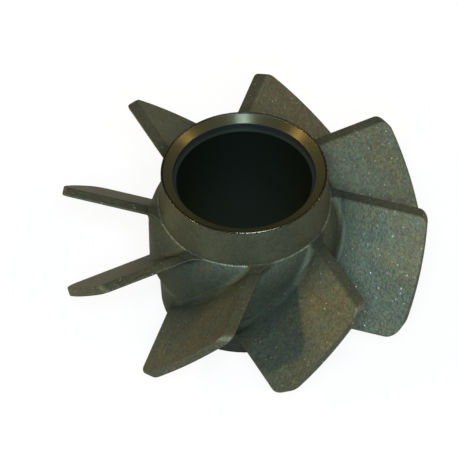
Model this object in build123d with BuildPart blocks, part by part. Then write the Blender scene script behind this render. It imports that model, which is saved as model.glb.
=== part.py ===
import os
from math import asin, degrees, hypot, radians, sin

from build123d import *

os.makedirs("parts", exist_ok=True)

# Pump impeller cast in one piece, in millimetres. The origin is the centre of the
# hub's lower face, +Z runs up along the bore and the first blade points along +X.

# hub, from the bottom up
total_height = 47.4
spigot_foot_diameter = 46.7
spigot_top_diameter = 47.1
spigot_height = 5.0
body_foot_height = 17.6
body_foot_rounding = 3.0
body_diameter = 52.5
body_top_height = 28.0
shoulder_inset = 2.85
ledge_width = 0.35
nose_flare = 0.45
nose_land = 4.5
nose_rounding = 0.3

# bore, open right through
bore_diameter = 36.8
lower_mouth_chamfer = 0.5
register_diameter = 38.8
register_depth = 3.5
mouth_diameter = 44.5
mouth_depth = 1.4

# blades: flat plates, each turned about its own radial line; their leading edges
# are level with the hub's shoulder
blade_count = 8
blade_angle = 45.5
blade_thickness = 2.45
blade_pivot_height = 24.4
blade_foot_height = 10.8
blade_top_height = 35.5
tip_diameter = 100.0
leading_corner_radius = 2.4
trailing_corner_radius = 3.5
root_fillet = 1.8
edge_rounding = 0.35

# a plate starts inside the bore at this radius, and is drawn this far past its ends
blade_start = 14.0
blade_overrun = 1.0

body_radius = body_diameter / 2
nose_foot_radius = body_radius - shoulder_inset - ledge_width
nose_radius = nose_foot_radius - nose_flare
mouth_radius = mouth_diameter / 2
register_radius = register_diameter / 2
bore_radius = bore_diameter / 2
tip_radius = tip_diameter / 2

# the shoulder is an arc that leaves the body upright and runs on past the blades' tops
crown_rise = blade_top_height - body_top_height
crown_radius = (crown_rise**2 + shoulder_inset**2) / (2 * shoulder_inset)
crown_angle = degrees(asin((crown_rise + blade_overrun) / crown_radius))

stem_height = (blade_foot_height + body_foot_height) / 2
raw_height = blade_top_height - blade_foot_height + 2 * blade_overrun
raw_length = (2 * raw_height + blade_thickness) / sin(radians(blade_angle))

with BuildPart() as blade:
    with BuildSketch(Plane.YZ.offset(blade_start)):
        with Locations((0, blade_pivot_height)):
            Rectangle(raw_length, blade_thickness, rotation=blade_angle)
        with Locations((0, blade_foot_height - blade_overrun)):
            Rectangle(
                2 * raw_length,
                raw_height,
                align=(Align.CENTER, Align.MIN),
                mode=Mode.INTERSECT,
            )
    extrude(amount=tip_radius + blade_overrun - blade_start)

# the hub's side, from the spigot up past the shoulder
with BuildPart() as core:
    with BuildSketch(Plane.XZ) as side:
        with BuildLine():
            spigot = Polyline(
                (0, 0),
                (spigot_foot_diameter / 2, 0),
                (spigot_top_diameter / 2, spigot_height),
            )
            body = Line((body_radius, body_foot_height), (body_radius, body_top_height))
            TangentArc(spigot @ 1, body @ 0, tangent=(0, 1))
            crown = CenterArc(
                (body_radius - crown_radius, body_top_height),
                crown_radius,
                0,
                crown_angle,
            )
            Polyline(crown @ 1, (0, (crown @ 1).Y), (0, 0))
        make_face()
        fillet(
            side.vertices().sort_by_distance((body_radius, body_foot_height))[0],
            body_foot_rounding,
        )
    revolve()

# the part of it that reaches up between the blades' trailing ends
with BuildPart() as stem:
    add(core.part)
    split(bisect_by=Plane.XY.offset(stem_height), keep=Keep.BOTTOM)

with BuildPart() as impeller:
    # the slice of the hub that the blades stand on
    add(core.part)
    split(bisect_by=Plane.XY.offset(blade_foot_height - blade_overrun), keep=Keep.TOP)

    # ring of blades, their roots filleted before the ends are cut
    with PolarLocations(0, blade_count):
        add(blade.part)
    roots = impeller.edges().filter_by(
        lambda edge: hypot((edge @ 0.5).X, (edge @ 0.5).Y) < body_radius + root_fillet / 2
        and body_foot_height < (edge @ 0.5).Z < body_top_height
        and abs((edge @ 0).Z - (edge @ 1).Z) > root_fillet / 2
    )
    fillet(roots, root_fillet)

    # flat leading and trailing edges, cylindrical tips, rounded corners
    with BuildSketch(Plane.XZ) as outline:
        with Locations((0, blade_foot_height)):
            Rectangle(
                tip_radius,
                blade_top_height - blade_foot_height,
                align=(Align.MIN, Align.MIN),
            )
        fillet(
            outline.vertices().sort_by_distance((tip_radius, blade_foot_height))[0],
            trailing_corner_radius,
        )
        fillet(
            outline.vertices().sort_by_distance((tip_radius, blade_top_height))[0],
            leading_corner_radius,
        )
    revolve(mode=Mode.INTERSECT)

    # one chain of smooth edges runs round every blade and the hub between them
    top = impeller.faces().filter_by(Axis.Z).sort_by(Axis.Z)[-1]
    fillet(top.edges().filter_by(GeomType.LINE), edge_rounding)

    # hub below the blades
    add(stem.part)

    # nose, from inside the shoulder to the rim
    with BuildSketch(Plane.XZ) as nose:
        with BuildLine():
            seat = Polyline(
                (0, body_top_height),
                (nose_foot_radius, body_top_height),
                (nose_foot_radius, blade_top_height),
            )
            flare = TangentArc(
                (nose_radius, total_height - nose_land),
                seat @ 1,
                tangent=(0, -1),
            )
            Polyline(
                flare @ 0,
                (nose_radius, total_height),
                (0, total_height),
                (0, body_top_height),
            )
        make_face()
        fillet(
            nose.vertices().sort_by_distance((nose_radius, total_height))[0],
            nose_rounding,
        )
    revolve()

    # bore with its upper register and conical mouth
    with BuildSketch(Plane.XZ):
        with BuildLine():
            Polyline(
                (0, 0),
                (bore_radius + lower_mouth_chamfer, 0),
                (bore_radius, lower_mouth_chamfer),
                (bore_radius, total_height - register_depth),
                (register_radius, total_height - register_depth),
                (register_radius, total_height - mouth_depth),
                (mouth_radius, total_height),
                (0, total_height),
                (0, 0),
            )
        make_face()
    revolve(mode=Mode.SUBTRACT)

impeller.part.label = "impeller"
export_step(impeller.part, "parts/impeller.step")
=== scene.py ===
from math import cos, radians, sin

import bpy
from mathutils import Matrix, Vector

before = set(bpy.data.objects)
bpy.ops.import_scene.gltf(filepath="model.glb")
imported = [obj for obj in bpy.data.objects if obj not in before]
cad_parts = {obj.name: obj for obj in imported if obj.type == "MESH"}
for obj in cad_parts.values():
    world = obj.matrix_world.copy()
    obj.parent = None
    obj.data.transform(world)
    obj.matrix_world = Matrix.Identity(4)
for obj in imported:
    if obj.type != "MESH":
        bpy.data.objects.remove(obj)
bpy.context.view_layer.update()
scene = bpy.context.scene
scene.view_settings.view_transform = "Standard"

# The photograph's view. The camera stands at -Y and is then turned about +Z; angles
# are in degrees, lengths in metres, the lens and the sensor in millimetres.
VIEW_TURN = 18.64
VIEW_ELEVATION = 47.57
VIEW_ROLL = -0.916
VIEW_DISTANCE = 1.4414
VIEW_LENS = 414.8
VIEW_SENSOR = 36
VIEW_TARGET = (-0.00433, 0.0, 0.02467)

# Square lamps: azimuth and elevation in degrees (-90 is the camera's side, 0 its
# right), distance and size in metres, power in watts, colour
LAMPS = {
    "front": (-87, 48, 1.3, 0.50, 25.0, (0.66, 0.88, 1.00)),
    "key": (-158, 34, 1.2, 0.07, 5.8, (1.00, 0.76, 0.43)),
    "left": (168, 35, 1.2, 0.35, 4.2, (1.00, 0.70, 0.24)),
    "right": (0, 40, 1.2, 0.35, 5.3, (1.00, 0.78, 0.50)),
    "low": (5, 14, 1.2, 0.35, 1.5, (1.00, 0.62, 0.20)),
    "glint left": (165, 56, 1.2, 0.14, 0.32, (1.00, 0.66, 0.35)),
    "glint right": (17, 54, 1.2, 0.14, 0.24, (1.00, 0.66, 0.35)),
    "top": (-90, 80, 1.2, 0.10, 1.05, (0.38, 0.58, 1.00)),
}
LAMP_AIM = (0, 0, 0.025)
WORLD_STRENGTH = 0.06

FLOOR_SIZE = 20
FLOOR_GREY = 0.8
FLOOR_ROUGHNESS = 0.9
FLOOR_WHITENESS = 0.88

# Where the finish changes: radii from the bore outwards, then heights, in metres
BORE = 0.01845
REGISTER = 0.0195
RIM = 0.02190
NOSE = 0.02320
SHOULDER = 0.02375
BODY = 0.02628
FILLET_START = 0.0264
FILLET_FADE = 0.0267
FILLET_END = 0.0277
FOOT_SHADE_END = 0.02778
ROOT_SHADE_END = 0.0350
TIP = 0.0496
FOOT_SHADE_HEIGHT = 0.009
BODY_FOOT_HEIGHT = 0.016
LEDGE_HEIGHT = 0.0352
REGISTER_HEIGHT = 0.0436
SEAT_HEIGHT = 0.0440
WALL_HEIGHT = 0.0444
CONE_HEIGHT = 0.0460
CREST_HEIGHT = 0.0471
ZONE_BLUR = 0.00004

OLIVE = (0.100, 0.112, 0.081)
BROWN = (0.118, 0.108, 0.066)
BRIGHT_GRAIN = (0.46, 0.50, 0.49)
NOSE_LIGHT = (0.084, 0.086, 0.056)
NOSE_DARK = (0.066, 0.070, 0.045)

SKIN_METALLIC = 0.60
SKIN_ROUGHNESS = 0.58
SKIN_SPECULAR = 0.15
SKIN_SPECULAR_TINT = (0.55, 0.52, 0.36)
GRAIN_METALLIC = 0.95
GRAIN_ROUGHNESS = 0.22
GRIT_DEPTH = 0.00022
GRIT_STRENGTH = 0.75


def turned(vector):
    """A direction or point given with the camera at -Y, in the part's axes."""
    return Matrix.Rotation(radians(VIEW_TURN), 3, "Z") @ Vector(vector)


def make_camera():
    elevation, roll = radians(VIEW_ELEVATION), radians(VIEW_ROLL)
    right = Vector((1, 0, 0))
    up = Vector((0, sin(elevation), cos(elevation)))
    back = turned((0, -cos(elevation), sin(elevation)))
    rolled_right = turned(right * cos(roll) + up * sin(roll))
    rolled_up = turned(up * cos(roll) - right * sin(roll))
    data = bpy.data.cameras.new("camera")
    data.lens = VIEW_LENS
    data.sensor_width = VIEW_SENSOR
    camera = bpy.data.objects.new("camera", data)
    scene.collection.objects.link(camera)
    turn = Matrix((rolled_right, rolled_up, back)).transposed().to_4x4()
    place = turned(VIEW_TARGET) + back * VIEW_DISTANCE
    camera.matrix_world = Matrix.Translation(place) @ turn
    scene.camera = camera


def make_lamp(name, azimuth, elevation, distance, size, power, colour):
    """A square soft light that looks at the middle of the part."""
    a, e = radians(azimuth), radians(elevation)
    towards = turned((cos(a) * cos(e), sin(a) * cos(e), sin(e)))
    data = bpy.data.lights.new(name, "AREA")
    data.size = size
    data.energy = power
    data.color = colour
    lamp = bpy.data.objects.new(name, data)
    scene.collection.objects.link(lamp)
    turn = towards.to_track_quat("Z", "Y").to_matrix().to_4x4()
    place = Vector(LAMP_AIM) + towards * distance
    lamp.matrix_world = Matrix.Translation(place) @ turn


class Graph:
    """A short way to write a material's nodes. Inputs are sockets or plain values."""

    def __init__(self, tree):
        self.tree = tree

    def node(self, kind, inputs=(), **settings):
        made = self.tree.nodes.new(kind)
        for key, value in settings.items():
            setattr(made, key, value)
        for key, value in dict(inputs).items():
            self.put(made.inputs[key], value)
        return made

    def put(self, socket, value):
        if isinstance(value, bpy.types.NodeSocket):
            self.tree.links.new(value, socket)
        elif socket.type == "RGBA":
            socket.default_value = (*value, 1)
        else:
            socket.default_value = value

    def both(self, a, b):
        inputs = {0: a, 1: b}
        return self.node("ShaderNodeMath", inputs, operation="MULTIPLY").outputs[0]

    def most(self, a, b):
        inputs = {0: a, 1: b}
        return self.node("ShaderNodeMath", inputs, operation="MAXIMUM").outputs[0]

    def vector(self, operation, *values):
        made = self.node("ShaderNodeVectorMath", enumerate(values), operation=operation)
        return made.outputs["Value" if operation == "LENGTH" else "Vector"]

    def ramp(self, value, start, end):
        """Smoothly from 0 at the start to 1 at the end, which may be the lower one."""
        inputs = {"Value": value, "From Min": start, "From Max": end}
        made = self.node("ShaderNodeMapRange", inputs, interpolation_type="SMOOTHSTEP")
        return made.outputs["Result"]

    def below(self, value, limit):
        return self.ramp(value, limit + ZONE_BLUR, limit - ZONE_BLUR)

    def above(self, value, limit):
        return self.ramp(value, limit - ZONE_BLUR, limit + ZONE_BLUR)

    def blend(self, factor, a, b):
        """From colour a to colour b."""
        inputs = {0: factor, 6: a, 7: b}
        return self.node("ShaderNodeMix", inputs, data_type="RGBA").outputs[2]

    def mix(self, factor, a, b):
        """From number a to number b."""
        return self.node("ShaderNodeMix", {0: factor, 2: a, 3: b}).outputs[0]

    def noise(self, place, scale, detail=2.0, rough=0.5, output="Fac"):
        inputs = {"Vector": place, "Scale": scale, "Detail": detail, "Roughness": rough}
        return self.node("ShaderNodeTexNoise", inputs).outputs[output]

    def specks(self, place, scale, size, share):
        """Spots in the share of the cells above the given one."""
        cells = self.node("ShaderNodeTexVoronoi", {"Vector": place, "Scale": scale})
        pick = self.node("ShaderNodeSeparateColor", {0: cells.outputs["Color"]})
        spot = self.ramp(cells.outputs["Distance"], size, size / 3)
        return self.both(spot, self.ramp(pick.outputs[0], share, 1.0))


def find_zones(g, place):
    """Masks that part the surface by its radius and height."""
    radius = g.vector("LENGTH", g.vector("MULTIPLY", place, (1, 1, 0)))
    height = g.node("ShaderNodeSeparateXYZ", {0: place}).outputs["Z"]
    above_ledge = g.above(height, LEDGE_HEIGHT)
    ledge_ring = g.both(g.above(radius, NOSE), g.below(radius, SHOULDER))
    fillet_start = g.ramp(radius, BODY, FILLET_START)
    fillet_end = g.ramp(radius, FILLET_END, FILLET_FADE)
    beside_body = g.ramp(radius, FOOT_SHADE_END, BODY)
    body_foot = g.ramp(height, BODY_FOOT_HEIGHT, FOOT_SHADE_HEIGHT)
    register = g.both(g.below(radius, REGISTER), g.above(height, REGISTER_HEIGHT))
    seat_level = g.ramp(height, WALL_HEIGHT, SEAT_HEIGHT)
    return {
        "bore": g.below(radius, BORE),
        "register": register,
        "seat": g.both(register, seat_level),
        "cone": g.both(g.below(radius, RIM), g.above(height, CONE_HEIGHT)),
        "outside": g.above(radius, RIM),
        "crest": g.both(g.above(radius, RIM), g.above(height, CREST_HEIGHT)),
        "nose": g.both(g.below(radius, NOSE), above_ledge),
        "ledge": g.both(ledge_ring, above_ledge),
        "leading end": g.both(g.above(radius, SHOULDER), above_ledge),
        "tip": g.above(radius, TIP),
        # the next three mark where shade is painted: darker towards the hub, in the
        # root fillets and on the foot under the blades
        "root": g.ramp(radius, ROOT_SHADE_END, BODY),
        "fillet": g.both(fillet_start, fillet_end),
        "foot shade": g.both(beside_body, body_foot),
    }


def make_iron():
    material = bpy.data.materials.new("cast_iron")
    material.use_nodes = True
    g = Graph(material.node_tree)
    bsdf = material.node_tree.nodes["Principled BSDF"].inputs
    place = g.node("ShaderNodeTexCoord").outputs["Object"]
    zone = find_zones(g, place)

    # noise scales are in features a metre
    patch = g.ramp(g.noise(place, 70, 3, 0.6), 0.36, 0.66)
    mottle = g.ramp(g.noise(place, 420, 4, 0.65), 0.30, 0.72)
    # streaks that break up the painted highlight on the ledge ring
    ledge_highlight_streaks = g.ramp(g.noise(place, 900, 3, 0.7), 0.25, 0.60)
    hue = g.noise(place, 1100, output="Color")
    grit = g.noise(place, 1300, 2, 0.6)
    speck = g.ramp(grit, 0.40, 0.66)

    # bright grains that catch the light, many small ones and a few larger, with fewer
    # in the painted shade near the hub
    small_grain = g.both(g.specks(place, 1300, 0.40, 0.90), 0.55)
    grain = g.most(small_grain, g.specks(place, 360, 0.18, 0.965))
    grain = g.both(grain, g.mix(zone["root"], 1.0, 0.15))

    # cast skin: olive grey with wide brown patches, darker cut ends and a change of hue
    # from grain to grain, with painted shade where the blades meet the hub, in the root
    # fillets and on the hub's foot under the blades
    skin = g.blend(patch, OLIVE, BROWN)
    for mask, share, tint in (
        (zone["root"], 0.74, (0.032, 0.044, 0.032)),
        (zone["fillet"], 0.52, (0.010, 0.013, 0.010)),
        (zone["foot shade"], 0.70, (0.014, 0.018, 0.015)),
        (zone["leading end"], 0.40, (0.042, 0.034, 0.016)),
        (zone["tip"], 0.30, (0.040, 0.040, 0.024)),
        (mottle, 0.42, (0.042, 0.047, 0.036)),
        (speck, 0.45, (0.036, 0.042, 0.034)),
    ):
        skin = g.blend(g.both(mask, share), skin, tint)
    hue = g.vector("MULTIPLY_ADD", hue, (0.7, 0.7, 0.7), (0.65, 0.65, 0.65))
    skin = g.blend(grain, g.vector("MULTIPLY", skin, hue), BRIGHT_GRAIN)

    # the turned nose, ledge, mouth, register and bore
    nose = g.blend(mottle, NOSE_LIGHT, NOSE_DARK)
    nose = g.blend(g.both(speck, 0.3), nose, (0.036, 0.040, 0.028))
    colour = g.blend(zone["nose"], skin, nose)
    for mask, tint in (
        # the ledge ring is turned metal, lighter in streaks as a painted highlight
        (g.both(zone["ledge"], ledge_highlight_streaks), (0.122, 0.132, 0.104)),
        (zone["cone"], (0.145, 0.130, 0.060)),
        (zone["crest"], (0.066, 0.061, 0.045)),
        # the register, seat and bore are painted dark as shade deep inside the mouth,
        # the bore nearly black
        (zone["register"], (0.044, 0.054, 0.062)),
        (zone["seat"], (0.052, 0.062, 0.052)),
        (zone["bore"], (0.013, 0.020, 0.018)),
    ):
        colour = g.blend(mask, colour, tint)

    metallic = g.mix(grain, SKIN_METALLIC, GRAIN_METALLIC)
    roughness = g.mix(grain, SKIN_ROUGHNESS, GRAIN_ROUGHNESS)
    for name, zone_metallic, zone_roughness in (
        ("ledge", 0.70, 0.45),
        ("cone", 0.85, 0.21),
        ("crest", 0.90, 0.22),
        ("register", 0.80, 0.40),
        ("bore", 1.00, 0.60),
    ):
        metallic = g.mix(zone[name], metallic, zone_metallic)
        roughness = g.mix(zone[name], roughness, zone_roughness)

    # the grit's relief is halved on the nose, hardly there on the cone and absent
    # inside the mouth
    relief = g.both(grit, g.mix(zone["nose"], 1.0, 0.5))
    relief = g.both(relief, g.mix(zone["cone"], zone["outside"], 0.04))
    bump = {"Strength": GRIT_STRENGTH, "Distance": GRIT_DEPTH, "Height": relief}

    g.put(bsdf["Base Color"], colour)
    g.put(bsdf["Metallic"], metallic)
    g.put(bsdf["Roughness"], roughness)
    g.put(bsdf["Specular IOR Level"], SKIN_SPECULAR)
    g.put(bsdf["Specular Tint"], SKIN_SPECULAR_TINT)
    g.put(bsdf["Normal"], g.node("ShaderNodeBump", bump).outputs[0])
    return material


def make_floor():
    """A pale floor that the camera and reflections see as nearly white."""
    bpy.ops.mesh.primitive_plane_add(size=FLOOR_SIZE)
    floor = bpy.context.object
    floor.name = "floor"
    material = bpy.data.materials.new("floor")
    material.use_nodes = True
    tree = material.node_tree
    g = Graph(tree)
    bsdf = tree.nodes["Principled BSDF"]
    g.put(bsdf.inputs["Base Color"], (FLOOR_GREY, FLOOR_GREY, FLOOR_GREY))
    g.put(bsdf.inputs["Roughness"], FLOOR_ROUGHNESS)
    rays = g.node("ShaderNodeLightPath").outputs
    seen = g.most(rays["Is Camera Ray"], rays["Is Glossy Ray"])
    seen = g.most(seen, rays["Is Transmission Ray"])
    white = g.node("ShaderNodeEmission", {"Color": (1, 1, 1), "Strength": 1.0})
    whiteness = g.both(seen, FLOOR_WHITENESS)
    inputs = {0: whiteness, 1: bsdf.outputs[0], 2: white.outputs[0]}
    mixed = g.node("ShaderNodeMixShader", inputs)
    g.put(tree.nodes["Material Output"].inputs["Surface"], mixed.outputs[0])
    floor.data.materials.append(material)


def make_world():
    world = bpy.data.worlds.new("world")
    scene.world = world
    world.use_nodes = True
    background = world.node_tree.nodes["Background"]
    background.inputs["Color"].default_value = (1, 1, 1, 1)
    background.inputs["Strength"].default_value = WORLD_STRENGTH


make_camera()
for lamp_name, settings in LAMPS.items():
    make_lamp(lamp_name, *settings)
make_world()
make_floor()

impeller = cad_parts["impeller"]
impeller.data.materials.clear()
impeller.data.materials.append(make_iron())
